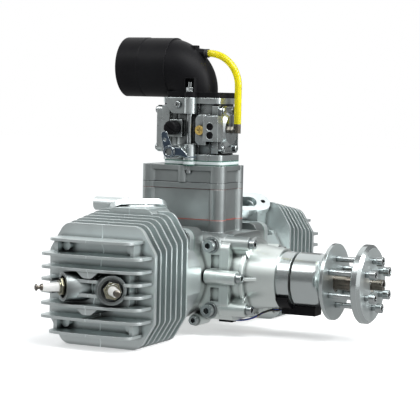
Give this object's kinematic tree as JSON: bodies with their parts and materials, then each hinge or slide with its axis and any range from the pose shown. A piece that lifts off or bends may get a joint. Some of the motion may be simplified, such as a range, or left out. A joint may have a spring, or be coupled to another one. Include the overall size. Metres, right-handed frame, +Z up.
{
  "type": "flat twin aircraft engine",
  "caption": "Flat twin two-stroke engine for small aircraft, with finned cylinders, a top carburettor with an intake elbow and a propeller flange.",
  "frame": {"origin": "centre of the propeller flange's front face, on the crankshaft's axis", "axes": "-Y points forwards along the crankshaft, +Z up through the carburettor, -X to the left cylinder"},
  "size_m": [0.4498, 0.302, 0.3132],
  "materials": {
    "cast_aluminium": "sand-blasted casting",
    "machined_aluminium": "turned, with fine lathe lines",
    "steel": "bright zinc-plated or ground steel",
    "dark_steel": "oiled dark steel",
    "brass": "machined",
    "ceramic": "glazed white ceramic",
    "black_plastic": "moulded, satin",
    "hose_yellow": "flexible yellow tube",
    "rubber": "matt",
    "gasket_red": "pressed fibre",
    "gasket_green": "pressed fibre",
    "wire_colours": "insulated wires"
  },
  "bodies": {
    "engine": {"crankcase": "cast_aluminium", "front_case": "cast_aluminium", "rear_cover": "cast_aluminium", "cylinder_left": "cast_aluminium", "cylinder_right": "cast_aluminium", "base_gaskets": "gasket_green", "cylinder_screws": "steel", "m8_washers": "steel", "cross_bolts": "steel", "case_screws": "steel", "plug_shells": "steel", "plug_insulators": "ceramic", "plug_terminals": "steel", "reed_housing": "cast_aluminium", "intake_gaskets": "gasket_red", "spacer_plate": "machined_aluminium", "intake_cover": "cast_aluminium", "intake_screws": "steel", "reed_block": "rubber", "reed_petals": "black_plastic", "carb_insulator": "black_plastic", "carb_gaskets": "gasket_green", "carburettor_body": "cast_aluminium", "pump_cover": "steel", "metering_cover": "steel", "carb_screws": "steel", "pressure_fitting": "steel", "brass_plug": "brass", "carb_studs": "steel", "carb_nuts": "steel", "intake_elbow": "black_plastic", "vent_hose": "hose_yellow", "hose_rings": "rubber", "sensor_ring": "machined_aluminium", "hall_sensor": "black_plastic", "sensor_wires": "wire_colours", "lead_connector": "black_plastic", "main_bearings": "steel"},
    "crank": {"crankshaft": "dark_steel", "prop_hub": "machined_aluminium", "prop_washer": "machined_aluminium", "prop_screws": "steel", "trigger_magnet": "steel"},
    "piston_left_group": {"piston_left": "machined_aluminium", "piston_rings_left": "dark_steel", "wrist_pin_left": "steel"},
    "piston_right_group": {"piston_right": "machined_aluminium", "piston_rings_right": "dark_steel", "wrist_pin_right": "steel"},
    "rod_left_group": {"con_rod_left": "dark_steel", "crank_pin_left": "steel"},
    "rod_right_group": {"con_rod_right": "dark_steel", "crank_pin_right": "steel"},
    "throttle": {"throttle_shaft": "steel", "throttle_plate": "brass", "throttle_lever": "steel"},
    "idle_adjuster": {"idle_knob": "dark_steel"},
    "mixture_high": {"mixture_screw_high": "brass"},
    "mixture_low": {"mixture_screw_low": "brass"}
  },
  "joints": [
    {"name": "crank_spin", "type": "hinge", "parent": "engine", "child": "crank", "pos_m": [0, 0, 0], "axis": [0, 1, 0], "continuous": true},
    {"name": "piston_left_slide", "type": "slide", "parent": "engine", "child": "piston_left_group", "axis": [1, 0, 0], "range_m": [0, 0.04]},
    {"name": "piston_right_slide", "type": "slide", "parent": "engine", "child": "piston_right_group", "axis": [-1, 0, 0], "range_m": [0, 0.04]},
    {"name": "rod_left_swing", "type": "hinge", "parent": "piston_left_group", "child": "rod_left_group", "pos_m": [-0.124, 0.181, 0], "axis": [0, 1, 0], "range_deg": [-11.1, 11.1]},
    {"name": "rod_right_swing", "type": "hinge", "parent": "piston_right_group", "child": "rod_right_group", "pos_m": [0.124, 0.157, 0], "axis": [0, 1, 0], "range_deg": [-11.1, 11.1]},
    {"name": "throttle_turn", "type": "hinge", "parent": "engine", "child": "throttle", "pos_m": [0, 0.169, 0.1307], "axis": [1, 0, 0], "range_deg": [0, 75], "stiffness_Nm_per_rad": 0.02, "springref_deg": -20.05},
    {"name": "idle_turn", "type": "hinge", "parent": "engine", "child": "idle_adjuster", "pos_m": [-0.03, 0.1785, 0.1553], "axis": [1, 0, 0], "range_deg": [-180, 180]},
    {"name": "mixture_high_turn", "type": "hinge", "parent": "engine", "child": "mixture_high", "pos_m": [-0.03, 0.134, 0.1575], "axis": [1, 0, 0], "range_deg": [-180, 180]},
    {"name": "mixture_low_turn", "type": "hinge", "parent": "engine", "child": "mixture_low", "pos_m": [-0.03, 0.134, 0.1485], "axis": [1, 0, 0], "range_deg": [-180, 180]}
  ],
  "couplings": [
    {"joint": "piston_right_slide", "follows": "piston_left_slide", "ratio": 1},
    {"joint": "rod_right_swing", "follows": "rod_left_swing", "ratio": 1}
  ]
}
